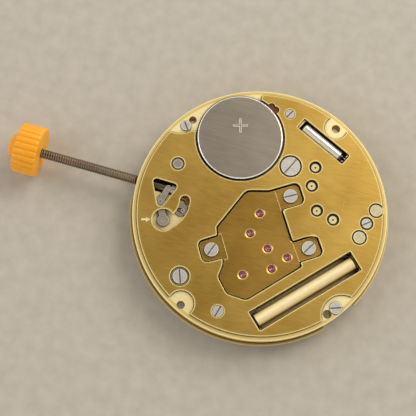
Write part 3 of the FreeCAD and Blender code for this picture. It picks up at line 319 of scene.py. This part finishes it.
FINISHES = {
    # Brass, grained with emery and gold plated: the grain dulls the yellow, and every cut edge has a painted
    # highlight
    "gilt_cover": worked_metal(
        "grained_gilt_brass", "#C69A40", "#E6C268", "#FFF0A6", (0.30, 0.42), 0.05, length=1.6, angle=62,
        edge_gloss=0.34, metallic=0.90, deep="#5A3F14", rim=0.17, level=(0.95, 0.997)),
    # The bridge's plating is older and browner, and only its bevels carry a painted highlight
    "gilt_bridge": worked_metal(
        "grained_gilt_brass_bridge", "#B58A3A", "#D8AE56", "#FFEDA6", (0.26, 0.38), 0.05, length=1.6, angle=62,
        edge_gloss=0.34, metallic=0.90, deep="#4A3210", rim=0.13, level=(0.80, 0.88)),
    # The main plate is plated over a blasted surface, pale, matt and creamy, with a yellower turned rim
    # Its wide reach and dark deep colour paint shade into the coil's pocket and the plate's other deep hollows
    "gilt_main_plate": worked_metal(
        "blasted_gilt_brass", "#FCE6A2", "#FFF8CA", "#FFF6BE", (0.46, 0.58), 0.09, depth=0.0012,
        edge_gloss=0.36, metallic=0.55, deep="#4A2F0E", wall="#EACC7C", turned_from=11.26,
        reach=0.45, shaded=(0.54, 0.89)),
    # Nickel-plated steel screws: nearly white polished heads, their slots blackened with painted shade
    "screw_steel": worked_metal(
        "polished_screw_steel", "#E6E0DA", "#F8F5F0", "#FFFFFF", (0.22, 0.28), 0.20, length=1.2, angle=25,
        depth=0.0002, deep="#0C0906", metallic=0.60, rim=0.06),
    # Turned and gilt pins: smooth, pale and a little soft
    "gilt_pin": worked_metal(
        "gilt_pin", "#F0E2B4", "#FFF6D0", "#FFFBE4", (0.20, 0.28), 0.30, depth=0.0002, metallic=0.6,
        reach=0.06),
    # Hardened and straight-grained steel of the keyless work: grey, a little brown from oil
    "keyless_steel": worked_metal(
        "hardened_steel", "#C4BBB0", "#D6CEC4", "#FFFBF2", (0.22, 0.30), 0.30, length=2.4, angle=-35,
        depth=0.0002, deep="#1E1712", metallic=0.75, rim=0.07, reach=0.08),
    # Turned and oiled steel: the thread's crests catch the light, and painted shade makes its flanks, sides and
    # roots brown-black
    "stem_steel": worked_metal(
        "oiled_stem_steel", "#675A4F", "#A39484", "#76695D", (0.20, 0.28), 0.10, deep="#0E0906",
        wall="#2A211A", rim=0.02, level=(0.42, 0.50), reach=0.16),
    # Polished steel of the arbors and pinions: cold, bright and nearly mirror smooth
    "pinion_steel": worked_metal(
        "polished_pinion_steel", "#9C9C9A", "#CFCFCC", "#F4F4F0", (0.15, 0.24), 0.08, deep="#1C1A18"),
    # Turned brass of the bushes: warm yellow with a soft shine
    "bush_brass": worked_metal("turned_bush_brass", "#BE9A4C", "#DDBC6C", "#FFE7A4", (0.22, 0.32), 0.08),
    # Rolled brass of the wheels: yellow with short streaks from the rolls
    "wheel_brass": worked_metal(
        "rolled_wheel_brass", "#B98F3E", "#DDB35C", "#FFE39C", (0.22, 0.34), 0.06, length=0.6, angle=15),
    # Rolled brass sheet under the dial, a little tarnished: duller, with longer streaks
    "motion_cover_brass": worked_metal(
        "rolled_cover_brass", "#A98238", "#CDA455", "#F7DA92", (0.28, 0.40), 0.06, length=1.2, angle=90),
    # Drawn copper of the springs: red-brown, streaked along the strip
    "spring_copper": worked_metal(
        "spring_copper", "#94562F", "#C67C4C", "#F2B98C", (0.22, 0.34), 0.06, length=0.5),
    # Soft magnetic alloy, rolled and annealed to a dull grey
    "soft_magnetic_sheet": worked_metal(
        "annealed_magnetic_alloy", "#7B7B78", "#AEAEA9", "#DDDDD6", (0.34, 0.46), 0.06, length=0.9, angle=90,
        deep="#22221F"),
    # Brass tabs with a flash of gold: yellow and slightly soft
    "terminal_tab": worked_metal("gold_flashed_tab", "#B48A42", "#E2BC70", "#FFE6AA", (0.24, 0.34), 0.06),
    # Plated contact pads: pale, clean gold that stands out on the dark circuit
    "gold_contact": worked_metal(
        "gold_contact", "#FCE49A", "#FFF8C8", "#FFFBDC", (0.22, 0.32), 0.08, edge_gloss=0.3, metallic=0.35,
        deep="#1A1208", rim=0.03, reach=0.05),
    # The quartz can is drawn nickel silver, bright plated, with long mirror lines
    "quartz_can_metal": worked_metal(
        "bright_plated_can", "#F2ECDC", "#FFFCF2", "#FFFFFF", (0.10, 0.16), 0.10, length=2.4, angle=-24.8,
        depth=0.0003, metallic=0.55, deep="#2A2620", reach=0.12),
    # Tinned copper wire: dull grey-white, faintly pitted
    "tinned_wire": worked_metal(
        "tinned_wire", "#9D9D98", "#CDCDC6", "#F2F2EA", (0.28, 0.40), 0.06, deep="#22221F"),
    # Rolled bronze of the cell's contacts: orange-brown with short streaks
    "contact_bronze": worked_metal(
        "contact_bronze", "#95652F", "#C9924E", "#F4CB8C", (0.26, 0.38), 0.06, length=0.6, angle=40),
    # The cell's can is nickel-plated steel, satin from rolling, with a drawn rim that carries a painted
    # highlight
    "cell_case_steel": worked_metal(
        "satin_nickelled_steel", "#928A7F", "#AFA69B", "#FFFFFF", (0.38, 0.48), 0.05, length=2.0, angle=16,
        edge_gloss=0.24, deep="#3A3632", rim=0.05),
    # The cell's cap is pressed and nickel plated: smoother and a little warmer
    "cell_cap_steel": worked_metal(
        "nickelled_cap", "#8E8780", "#B7B0A8", "#EDEAE4", (0.28, 0.38), 0.08, deep="#3A3632"),
    # Sintered magnet under nickel: dark blue-grey with a soft gloss
    "rare_earth_magnet": worked_metal(
        "nickelled_magnet", "#5C5C62", "#87878E", "#C9C9CF", (0.25, 0.36), 0.08, deep="#1C1C20"),
    "synthetic_ruby": ruby(),
    "enamelled_copper_wire": enamelled_wire(),
    "seal_glass": seal_glass(),
    # Glass-filled plastic, moulded: near black with pale fibre ends
    "carrier_plastic": moulded("glass_filled_plastic", "#141416", "#2A2A2E", (0.38, 0.55), 0.06, 0.004),
    # Pressed resin board under dark lacquer: brown-black, with the weave's faint swell
    "circuit_laminate": moulded("circuit_laminate", "#120D08", "#33281A", (0.35, 0.50), 0.12, 0.002),
    # Moulded epoxy over the chip: matt and black
    "chip_resin": moulded("chip_resin", "#101014", "#232328", (0.42, 0.58), 0.05, 0.003),
    # Stamped brown film: dull, nearly even in tone
    "insulating_film": moulded("insulating_film", "#4C2208", "#743810", (0.42, 0.55), 0.3, 0.002),
    # Moulded nylon of the cell's gasket: dark grey with a waxy shine
    "cell_gasket_nylon": moulded("gasket_nylon", "#2C2C2E", "#48484B", (0.30, 0.44), 0.08, 0.002),
    # Pressed powder of the cathode: black, dry and rough
    "cell_pellet": moulded("pressed_pellet", "#161618", "#34343A", (0.65, 0.80), 0.04, 0.006),
    # The assembly crown is injection moulded in translucent orange plastic: soft, with light inside it
    "crown_plastic": moulded(
        "orange_plastic", "#FFA50F", "#FFBB2C", (0.36, 0.48), 0.15, 0.004, ior=1.49, glow=0.15),
}

for part in frame["record"]["subparts"]:
    mesh = frame["nodes"][part["node"]].data
    mesh.materials.clear()
    mesh.materials.append(FINISHES[part["material_slot"]])


def clear_selection():
    """Leaves edit mode and selects nothing."""
    if bpy.context.object and bpy.context.object.mode != "OBJECT":
        bpy.ops.object.mode_set(mode="OBJECT")
    bpy.ops.object.select_all(action="DESELECT")


def apply_place():
    """Puts the new primitive's place, turn and size into its mesh."""
    bpy.ops.object.transform_apply(location=True, rotation=True, scale=True)


def edit(name):
    """Names the new primitive and goes into edit mode with all of it selected."""
    piece = bpy.context.object
    piece.name = piece.data.name = name
    bpy.ops.object.mode_set(mode="EDIT")
    bpy.ops.mesh.select_mode(type="VERT")
    bpy.ops.mesh.select_all(action="SELECT")
    return piece


def select_where(piece, chosen):
    """Selects the points of a piece in edit mode that a test chooses."""
    bpy.ops.mesh.select_all(action="DESELECT")
    bpy.ops.object.mode_set(mode="OBJECT")
    for point in piece.data.vertices:
        point.select = chosen(point)
    bpy.ops.object.mode_set(mode="EDIT")


def pull(x=0.0, y=0.0, z=0.0):
    """Extrudes what is selected by a step in mm."""
    bpy.ops.mesh.extrude_region_move(TRANSFORM_OT_translate={"value": (x * MM, y * MM, z * MM)})


def swell(scale, x):
    """Scales what is selected about the X axis, at x in mm."""
    bpy.ops.transform.resize(value=(1, scale, scale), center_override=(x * MM, 0, 0))


def tidy_shell():
    """Merges what meets and points every face outwards."""
    bpy.ops.mesh.select_all(action="SELECT")
    bpy.ops.mesh.remove_doubles(threshold=1e-7)
    bpy.ops.mesh.normals_make_consistent(inside=False)


def chamfer_box(name, size, chamfer, middle_x=0.0):
    """A box of a size in mm, centred on the X axis, with all its edges chamfered."""
    clear_selection()
    bpy.ops.mesh.primitive_cube_add(
        size=1.0, location=(middle_x * MM, 0, 0), scale=[side * MM for side in size])
    apply_place()
    box = edit(name)
    bpy.ops.mesh.select_mode(type="EDGE")
    bpy.ops.mesh.bevel(offset=chamfer * MM, segments=1)
    tidy_shell()
    bpy.ops.object.mode_set(mode="OBJECT")
    return box


def turned(name, stations, closed=False):
    """A turned shape along X: stations are (x, radius) in mm. A closed one ends where it began, like a ring."""
    clear_selection()
    x, radius = stations[0]
    bpy.ops.mesh.primitive_circle_add(
        vertices=32, radius=radius * MM, location=(x * MM, 0, 0), rotation=(0, math.pi / 2, 0),
        fill_type="NOTHING" if closed else "NGON")
    apply_place()
    piece = edit(name)
    for next_x, next_radius in stations[1:]:
        pull(x=next_x - x)
        if next_radius != radius:
            swell(next_radius / radius, next_x)
        x, radius = next_x, next_radius
    tidy_shell()
    bpy.ops.object.mode_set(mode="OBJECT")
    return piece


def placed_at(x, y, z, angle=0.0):
    """A place in mm, turned about Z by degrees."""
    return Matrix.Translation(Vector((x, y, z)) * MM) @ Matrix.Rotation(math.radians(angle), 4, "Z")


def finish_piece(piece, finish, body, replaced=(), placed=None, smooth_angle=35):
    """Puts a piece in its place, shades it and hands it to the body that carries it."""
    clear_selection()
    piece.select_set(True)
    bpy.context.view_layer.objects.active = piece
    if placed is not None:
        piece.matrix_world = placed
    apply_place()
    bpy.ops.object.shade_smooth_by_angle(angle=math.radians(smooth_angle))
    piece.data.materials.clear()
    piece.data.materials.append(FINISHES[finish])
    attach(piece, body)
    if replaced:
        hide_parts(*replaced)


def join(pieces, name):
    """Joins several shells into one object."""
    clear_selection()
    for piece in pieces:
        piece.select_set(True)
    bpy.context.view_layer.objects.active = pieces[0]
    bpy.ops.object.join()
    pieces[0].name = pieces[0].data.name = name
    return pieces[0]


def stem_thread():
    """One tooth of the thread, wound along the shaft."""
    first = -22.45
    clear_selection()
    bpy.ops.mesh.primitive_circle_add(
        vertices=4, radius=0.11 * MM, location=(first * MM, 0, THREAD_MIDDLE * MM),
        rotation=(math.pi / 2, 0, 0), fill_type="NOTHING")
    apply_place()
    ridge = edit("stem_thread")
    flatter = 0.68
    bpy.ops.transform.resize(value=(1.0, 1.0, flatter), center_override=(first * MM, 0, THREAD_MIDDLE * MM))
    bpy.ops.object.mode_set(mode="OBJECT")
    wound = ridge.modifiers.new("thread", "SCREW")
    wound.axis = "X"
    wound.angle = TURN
    wound.screw_offset = THREAD_PITCH * MM
    wound.iterations = THREAD_TURNS
    wound.steps = wound.render_steps = 20
    wound.use_merge_vertices = False
    bpy.ops.object.modifier_apply(modifier="thread")
    bpy.ops.object.mode_set(mode="EDIT")
    bpy.ops.mesh.select_all(action="SELECT")
    bpy.ops.mesh.fill_holes(sides=4)
    tidy_shell()
    bpy.ops.object.mode_set(mode="OBJECT")
    return ridge


def threaded_stem():
    """The winding stem: a tapped shaft, its bearing, the lever's groove, the square and the pilot."""
    round_off = 0.02
    inside_square = SQUARE_SIDE / 2 - 0.01
    shaft = turned("stem_shaft", [
        (THREAD_START, 0.30), (THREAD_START + 0.08, THREAD_ROOT), (THREAD_END, THREAD_ROOT),
        (THREAD_END, BEARING_RADIUS - round_off), (THREAD_END + round_off, BEARING_RADIUS),
        (BEARING_END - round_off, BEARING_RADIUS), (BEARING_END, BEARING_RADIUS - round_off),
        (BEARING_END, SHOULDER_RADIUS), (GROOVE_START, SHOULDER_RADIUS), (GROOVE_START, GROOVE_RADIUS),
        (GROOVE_END, GROOVE_RADIUS), (GROOVE_END, SHOULDER_RADIUS - 0.05),
        (SQUARE_START, SHOULDER_RADIUS - 0.05), (SQUARE_START, inside_square), (SQUARE_END, inside_square),
        (SQUARE_END, PILOT_RADIUS), (PILOT_END - 0.04, PILOT_RADIUS), (PILOT_END, PILOT_RADIUS - 0.03),
    ])
    square = (SQUARE_END - SQUARE_START, SQUARE_SIDE, SQUARE_SIDE)
    block = chamfer_box("stem_square", square, 0.02, middle_x=(SQUARE_START + SQUARE_END) / 2)
    stem = join([shaft, stem_thread(), block], "stem_threaded")
    finish_piece(stem, "stem_steel", "winding_stem", ("stem",), placed_at(0, 0, STEM_HEIGHT))


def ribbed_crown():
    """The assembly crown: a ribbed plastic knob with a plain boss on its outer end."""
    points_per_rib = 8
    clear_selection()
    bpy.ops.mesh.primitive_circle_add(
        vertices=CROWN_RIBS * points_per_rib, radius=CROWN_RADIUS * MM, rotation=(0, math.pi / 2, 0),
        location=(CROWN_INNER_FACE * MM, 0, 0), fill_type="NGON")
    apply_place()
    crown = edit("crown_ribbed")
    # The furrows are pressed in first, so that they run through both ends
    for number, depth in ((0, 0.12), (1, 0.045), (7, 0.045), (2, 0.008), (6, 0.008)):
        select_where(crown, lambda point: point.index % points_per_rib == number)
        swell((CROWN_RADIUS - depth) / CROWN_RADIUS, CROWN_INNER_FACE)
    bpy.ops.mesh.select_all(action="SELECT")
    x, scale = CROWN_INNER_FACE, 0.952
    swell(scale, x)
    # Shares of the full radius: the ribs between their rounded rims, then the boss and its dimple
    for next_x, next_scale in (
            (CROWN_INNER_FACE - 0.035, 0.978), (CROWN_INNER_FACE - 0.11, 1.0),
            (CROWN_OUTER_FACE + 0.11, 1.0), (CROWN_OUTER_FACE + 0.035, 0.978), (CROWN_OUTER_FACE, 0.952),
            (CROWN_OUTER_FACE, 0.50), (CROWN_OUTER_FACE + 0.02, 0.435),
            (BOSS_FACE + 0.15, 0.425), (BOSS_FACE + 0.05, 0.400), (BOSS_FACE, 0.350),
            (BOSS_FACE, 0.30), (BOSS_FACE + 0.07, 0.26), (BOSS_FACE + 0.07, 0.02)):
        pull(x=next_x - x)
        swell(next_scale / scale, next_x)
        x, scale = next_x, next_scale
    tidy_shell()
    finish_piece(crown, "crown_plastic", "winding_stem", ("crown",), placed_at(0, 0, STEM_HEIGHT))


def film_tongue():
    """The insulating film's tongue, which shows in the cover's notch beside the cell."""
    clear_selection()
    bpy.ops.mesh.primitive_circle_add(
        vertices=40, radius=0.32 * MM, fill_type="NGON",
        location=(-1.18 * MM, 9.82 * MM, (PLATE_TOP + 0.005) * MM))
    apply_place()
    tongue = edit("film_tongue")
    bpy.ops.mesh.duplicate_move(TRANSFORM_OT_translate={"value": (-0.44 * MM, 0.20 * MM, 0)})
    bpy.ops.mesh.select_all(action="SELECT")
    pull(z=0.06)
    bpy.ops.mesh.select_all(action="SELECT")
    bpy.ops.mesh.convex_hull()
    # Cut off just outside the cell's wall
    outward = Vector((0.531, 0.847, 0.0))
    near_cell = Vector((*CELL_CENTRE, 0.0)) * MM + outward * 4.02 * MM
    bpy.ops.mesh.select_all(action="SELECT")
    bpy.ops.mesh.bisect(plane_co=near_cell, plane_no=outward, use_fill=True, clear_inner=True)
    tidy_shell()
    finish_piece(tongue, "insulating_film", "movement")


def wound_coil():
    """The coil: one turn of wire drawn coarse enough to show, repeated along the core."""
    x, radius = -COIL_LENGTH / 2, COIL_RADIUS - WIRE_VALLEY
    clear_selection()
    bpy.ops.mesh.primitive_circle_add(
        vertices=40, radius=radius * MM, location=(x * MM, 0, 0), rotation=(0, math.pi / 2, 0),
        fill_type="NOTHING")
    apply_place()
    coil = edit("coil_wound")
    shoulder = COIL_RADIUS - 0.006
    for next_radius in (shoulder, COIL_RADIUS, shoulder, COIL_RADIUS - WIRE_VALLEY):
        pull(x=WIRE_PITCH / 4)
        x += WIRE_PITCH / 4
        swell(next_radius / radius, x)
        radius = next_radius
    bpy.ops.object.mode_set(mode="OBJECT")
    rows = coil.modifiers.new("rows", "ARRAY")
    rows.use_relative_offset = False
    rows.use_constant_offset = True
    rows.constant_offset_displace = (WIRE_PITCH * MM, 0, 0)
    rows.count = round(COIL_LENGTH / WIRE_PITCH)
    rows.use_merge_vertices = True
    rows.merge_threshold = 1e-7
    bpy.ops.object.modifier_apply(modifier="rows")
    bpy.ops.object.mode_set(mode="EDIT")
    bpy.ops.mesh.select_all(action="SELECT")
    bpy.ops.mesh.fill_holes(sides=0)
    tidy_shell()
    finish_piece(coil, "enamelled_copper_wire", "movement", ("coil_winding",),
                 placed_at(*COIL_CENTRE, COIL_AXIS_HEIGHT, COIL_ANGLE), smooth_angle=60)


def dished_jewels():
    """The upper jewels: rings of ruby with a polished cup that holds the oil."""
    top = JEWEL_TOP
    first = turned("jewel", [
        (JEWEL_BOTTOM, JEWEL_RADIUS), (top - 0.03, JEWEL_RADIUS), (top - 0.008, JEWEL_RADIUS - 0.012),
        (top, JEWEL_RADIUS - 0.035), (top, 0.270), (top - 0.02, 0.245), (top - 0.055, 0.19),
        (top - 0.075, 0.13), (top - 0.08, JEWEL_HOLE), (JEWEL_BOTTOM, JEWEL_HOLE),
        (JEWEL_BOTTOM, JEWEL_RADIUS),
    ], closed=True)
    upright = Matrix.Rotation(-math.pi / 2, 4, "Y")
    shells = []
    for name, centre in JEWEL_CENTRES.items():
        shell = first.copy()
        shell.data = first.data.copy()
        shell.name = "jewel_" + name
        bpy.context.scene.collection.objects.link(shell)
        shell.matrix_world = placed_at(*centre, 0) @ upright
        shells.append(shell)
    bpy.data.objects.remove(first)
    finish_piece(join(shells, "jewels_dished"), "synthetic_ruby", "movement", ("upper_jewels",))


def raised_plus():
    """The plus sign that is pressed up from the cell's can."""
    plus, bar = [chamfer_box("plus_arm", (1.40, 0.21, 0.10), 0.048) for _ in range(2)]
    for arm, angle in ((plus, 16.5), (bar, 106.5)):
        arm.matrix_world = placed_at(-3.93, 7.42, CELL_TOP, angle)
    clear_selection()
    bpy.context.view_layer.objects.active = plus
    union = plus.modifiers.new("cross", "BOOLEAN")
    union.operation = "UNION"
    union.solver = "EXACT"
    union.object = bar
    bpy.ops.object.modifier_apply(modifier="cross")
    bpy.data.objects.remove(bar)
    plus.name = plus.data.name = "plus_sign"
    finish_piece(plus, "cell_case_steel", "cell")


def arrow_mark():
    """The outlined arrow on the cover that points to the setting lever."""
    shaft_length, shaft_width, head_length, head_over_shaft = 0.42, 0.17, 0.38, 2.7
    clear_selection()
    bpy.ops.mesh.primitive_plane_add(size=1.0)
    arrow = edit("arrow_mark")
    bpy.ops.transform.resize(value=(shaft_length * MM, shaft_width * MM, 1.0), center_override=(0, 0, 0))
    bpy.ops.transform.translate(value=(-0.20 * MM, 0, 0))
    select_where(arrow, lambda point: point.co.x > 0)
    pull(x=0.03)
    bpy.ops.transform.resize(value=(1, head_over_shaft, 1), center_override=(0, 0, 0))
    pull(x=head_length)
    bpy.ops.transform.resize(value=(1, 0.05, 1), center_override=(0, 0, 0))
    # The outline stands up and the inside is pressed back
    bpy.ops.mesh.select_all(action="SELECT")
    pull(z=0.03)
    bpy.ops.mesh.inset(thickness=0.05 * MM)
    bpy.ops.transform.translate(value=(0, 0, -0.018 * MM))
    bpy.ops.mesh.select_all(action="SELECT")
    bpy.ops.mesh.fill_holes(sides=0)
    tidy_shell()
    finish_piece(arrow, "gold_contact", "movement", placed=placed_at(-9.82, -3.48, COVER_TOP - 0.008, 14))


def line_mark():
    """A short scribed line on the cover, with its burr."""
    mark = chamfer_box("line_mark", (0.70, 0.035, 0.02), 0.007)
    finish_piece(mark, "gilt_cover", "movement", placed=placed_at(7.13, 2.71, COVER_TOP, 95))


threaded_stem()
ribbed_crown()
film_tongue()
wound_coil()
dished_jewels()
raised_plus()
arrow_mark()
line_mark()


def pale_floor():
    """A matt floor in pale warm grey card: its faint tooth keeps it from looking like plastic."""
    material, tree, shader, place = start("pale_card")
    tooth = add(tree, "ShaderNodeTexNoise", {
        "Vector": place.outputs["Object"], "Scale": 1 / (1.2 * MM), "Detail": 4.0,
    })
    tone = add(tree, "ShaderNodeValToRGB", {"Fac": tooth.outputs["Fac"]}, [(0.3, "#BEB8AD"), (0.7, "#C9C3B9")])
    give(tree, shader, {"Base Color": tone.outputs["Color"]}, {"Roughness": 0.9, "Specular IOR Level": 0.2})
    clear_selection()
    bpy.ops.mesh.primitive_plane_add(size=3.0, location=(0, 0, FLOOR_HEIGHT * MM))
    floor = bpy.context.object
    floor.name = "floor"
    floor.data.materials.append(material)


def soft_light(name, position, size, power, colour):
    """One large round soft box that faces the movement: place and width in mm, power in watts."""
    lamp = bpy.data.lights.new(name, "AREA")
    lamp.shape = "DISK"
    lamp.size = size * MM
    lamp.energy = power
    lamp.color = linear(colour)[:3]
    box = bpy.data.objects.new(name, lamp)
    bpy.context.scene.collection.objects.link(box)
    box.location = Vector(position) * MM
    box.rotation_mode = "QUATERNION"
    box.rotation_quaternion = (-box.location).to_track_quat("-Z", "Y")


def studio_room():
    """The room round the movement: bright walls and a duller ceiling, as in a light tent with an open top."""
    world = bpy.data.worlds.new("light_tent")
    world.use_nodes = True
    bpy.context.scene.world = world
    tree = world.node_tree
    direction = add(tree, "ShaderNodeTexCoord")
    height = add(tree, "ShaderNodeSeparateXYZ", {"Vector": direction.outputs["Generated"]})
    room = add(tree, "ShaderNodeValToRGB", {"Fac": height.outputs["Z"]},
               [(0.0, "#F8F4EC"), (0.35, "#E6E1D7"), (0.72, "#9C9890"), (0.96, "#78746D")])
    give(tree, tree.nodes["Background"], {"Color": room.outputs["Color"]}, {"Strength": 1.15})


def photograph_camera():
    """The camera where the photograph was taken from: nearly overhead, a little below the movement."""
    place = Vector((-0.89, -20.58, 95.68))
    forward = Vector((-0.0394, 0.2049, -0.9780)).normalized()
    up = Vector((-0.2718, 0.9397, 0.2078))
    data = bpy.data.cameras.new("camera")
    camera = bpy.data.objects.new("camera", data)
    bpy.context.scene.collection.objects.link(camera)
    right = forward.cross(up).normalized()
    turn = Matrix((right, right.cross(forward), -forward)).transposed().to_4x4()
    camera.matrix_world = Matrix.Translation(place * MM) @ turn
    data.sensor_width = 36.0
    data.lens = 91.3
    data.clip_start = 1 * MM
    data.clip_end = 10.0
    bpy.context.scene.camera = camera


pale_floor()
studio_room()
soft_light("key", (100, 150, 175), 190, 0.36, "#FFF8EA")
soft_light("fill", (-180, -40, 150), 180, 0.12, "#F6F6FF")
photograph_camera()
bpy.context.scene.view_settings.view_transform = "Standard"
